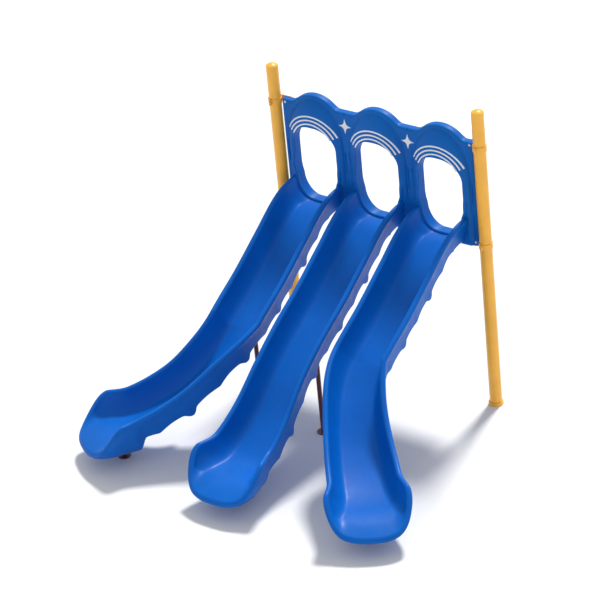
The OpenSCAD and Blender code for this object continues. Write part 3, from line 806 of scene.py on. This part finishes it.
class SLIDE_OT_trim(bpy.types.Operator):
    """White arcs over each door and a four-pointed star between the doors"""

    bl_idname = "wave_slide.trim"
    bl_label = "Trim"

    def execute(self, context):
        look = context.scene.slide_plastic
        material = moulded_plastic("trim_white", tuple(context.scene.slide_finish.trim), (0.3, 0.42), False)
        for name, side in LANES.items():
            points, faces, count = [], [], 0
            angles = np.radians(np.linspace(90 - ARC_SPREAD, 90 + ARC_SPREAD, 97))
            section = [(0, -0.003), (0, 0.0018), (0.0016, 0.003), (0.5 * ARC_W, 0.0033),
                       (ARC_W - 0.0016, 0.003), (ARC_W, 0.0018), (ARC_W, -0.003)]
            for radius in ARC_RADII:
                rows = []
                for r, lift in section:
                    x = (radius + r) * np.cos(angles)
                    z = ARC_Z + (radius + r) * np.sin(angles)
                    rows.append(np.stack([x + side * PITCH, POST_Y - swell(x, z, look.dome) - lift, z], -1))
                rows = np.array(rows)
                index = count + np.arange(rows.shape[0] * rows.shape[1]).reshape(rows.shape[:2])
                count += index.size
                points.append(rows.reshape(-1, 3))
                faces += grid_faces(index.T.copy(), wrap=True)
                faces += [index[:, 0].tolist(), index[::-1, -1].tolist()]
            make_piece("arc_strips_" + name, np.vstack(points), faces, material,
                       ["arc_trim_" + name], 40)
        for name, side in (("left", -1), ("right", 1)):
            arm_x, arm_z = STAR_ARMS
            tips = [(arm_x, 0), (0, arm_z), (-arm_x, 0), (0, -arm_z)]
            outline = []
            for i, a in enumerate(tips):
                b = tips[(i + 1) % 4]
                waist = (STAR_WAIST * np.sign(a[0] + b[0]), STAR_WAIST * np.sign(a[1] + b[1]))
                for t in np.linspace(0, 1, 13)[:-1]:
                    outline.append(tuple(bezier(a, waist, waist, b, np.array([t]))[0]))
            star = np.array(outline)
            grid = [(0, -0.6), (0, 0.55), (0.035, 1), (0.5, 1.05), (0.999, 1.1)]
            rows = np.array([
                np.stack([star[:, 0] * (1 - s) + side * PITCH / 2, np.full(len(star), POST_Y - 0.003 * h),
                          star[:, 1] * (1 - s) + STAR_Z], -1) for s, h in grid])
            index = np.arange(rows.shape[0] * rows.shape[1]).reshape(rows.shape[:2])
            faces = grid_faces(index, wrap=True) + [index[0].tolist(), index[-1].tolist()]
            make_piece("star_plate_" + name, rows.reshape(-1, 3), faces, material,
                       ["star_" + name], 40)
        return {"FINISHED"}


class SLIDE_OT_steel(bpy.types.Operator):
    """Powder coat and plating of the posts, clamps, legs and fasteners"""

    bl_idname = "wave_slide.steel"
    bl_label = "Steelwork"

    def execute(self, context):
        finish = context.scene.slide_finish
        coats = {
            "post": powder_coat("post_coat", tuple(finish.posts)),
            "leg": powder_coat("leg_coat", tuple(finish.legs)),
            "zinc": zinc_plate("fastener_zinc"),
        }
        for name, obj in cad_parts.items():
            if obj.hide_render:
                continue
            if name.endswith(("bolts", "nuts", "washers")):
                coat = coats["zinc"]
            elif name.startswith(("leg_", "support_leg", "exit_stand", "sill_angle")):
                coat = coats["leg"]
            elif name.startswith("post_") or "_clamp_" in name:
                coat = coats["post"]
            else:
                continue
            obj.data.materials.clear()
            obj.data.materials.append(coat)
        return {"FINISHED"}


class SLIDE_OT_stage(bpy.types.Operator):
    """Pale floor, soft light from behind the slide, and the camera"""

    bl_idname = "wave_slide.stage"
    bl_label = "Stage"

    def execute(self, context):
        stage = context.scene.slide_stage
        n = Nodes("studio_floor")
        tone = n.ranged(n.noise(0.5, 5), 0.3, 0.7, 0, 1)
        n.link(n.mixed(tone, (0.80, 0.80, 0.80), (0.83, 0.83, 0.83)), n.shader.inputs["Base Color"])
        n.set(Roughness=0.75)
        n.link(n.bumped(n.noise(60, 4), 0.0006, 0.4), n.shader.inputs["Normal"])
        size = 60
        mesh = bpy.data.meshes.new("studio_floor")
        plane = [(-size, -size, 0), (size, -size, 0), (size, size, 0), (-size, size, 0)]
        mesh.from_pydata(plane, [], [(0, 1, 2, 3)])
        mesh.materials.append(n.material)
        floor = bpy.data.objects.new("studio_floor", mesh)
        context.scene.collection.objects.link(floor)

        world = bpy.data.worlds.new("studio_sky")
        world.use_nodes = True
        background = world.node_tree.nodes["Background"]
        background.inputs["Color"].default_value = (0.97, 0.985, 1, 1)
        background.inputs["Strength"].default_value = stage.sky
        context.scene.world = world

        sun = bpy.data.lights.new("key_sun", "SUN")
        sun.energy = stage.sun
        sun.angle = math.radians(9)
        sun.color = (1, 0.985, 0.96)
        key = bpy.data.objects.new("key_sun", sun)
        key.rotation_euler = Vector((0.1, -0.62, -1)).to_track_quat("-Z", "Y").to_euler()
        context.scene.collection.objects.link(key)

        low, high = (Vector(c) for c in CAD_BOX)
        aim = (low + high) / 2
        data = bpy.data.cameras.new("view")
        data.lens = stage.lens
        data.sensor_width = 36
        data.clip_end = 300
        camera = bpy.data.objects.new("view", data)
        camera.location = (16.649, -20.525, 16.160)
        look = (aim - camera.location).to_track_quat("-Z", "Y")
        camera.rotation_mode = "QUATERNION"
        camera.rotation_quaternion = look @ Quaternion((0, 0, 1), -stage.roll)
        context.scene.collection.objects.link(camera)
        context.scene.camera = camera
        context.scene.view_settings.view_transform = "Standard"
        return {"FINISHED"}


class SLIDE_PT_panel(bpy.types.Panel):
    bl_idname = "SLIDE_PT_panel"
    bl_label = "Wave Slide"
    bl_space_type = "VIEW_3D"
    bl_region_type = "UI"
    bl_category = "Wave Slide"

    def draw(self, context):
        for group in (context.scene.slide_plastic, context.scene.slide_finish, context.scene.slide_stage):
            for key in group.__annotations__:
                self.layout.prop(group, key)
        for step in STEPS:
            self.layout.operator(step.bl_idname)


GROUPS = {"slide_plastic": SLIDE_PG_plastic, "slide_finish": SLIDE_PG_finish, "slide_stage": SLIDE_PG_stage}
STEPS = (SLIDE_OT_chutes, SLIDE_OT_hood, SLIDE_OT_trim, SLIDE_OT_steel, SLIDE_OT_stage)


def register():
    for item in (*GROUPS.values(), *STEPS, SLIDE_PT_panel):
        bpy.utils.register_class(item)
    for name, group in GROUPS.items():
        setattr(bpy.types.Scene, name, PointerProperty(type=group))


def unregister():
    for name in GROUPS:
        delattr(bpy.types.Scene, name)
    for item in reversed((*GROUPS.values(), *STEPS, SLIDE_PT_panel)):
        bpy.utils.unregister_class(item)


def corners(box):
    return [[float(v) for v in corner] for corner in box]


def main():
    register()
    for step in STEPS:
        group, name = step.bl_idname.split(".")
        getattr(getattr(bpy.ops, group), name)()


if __name__ == "__main__":
    main()
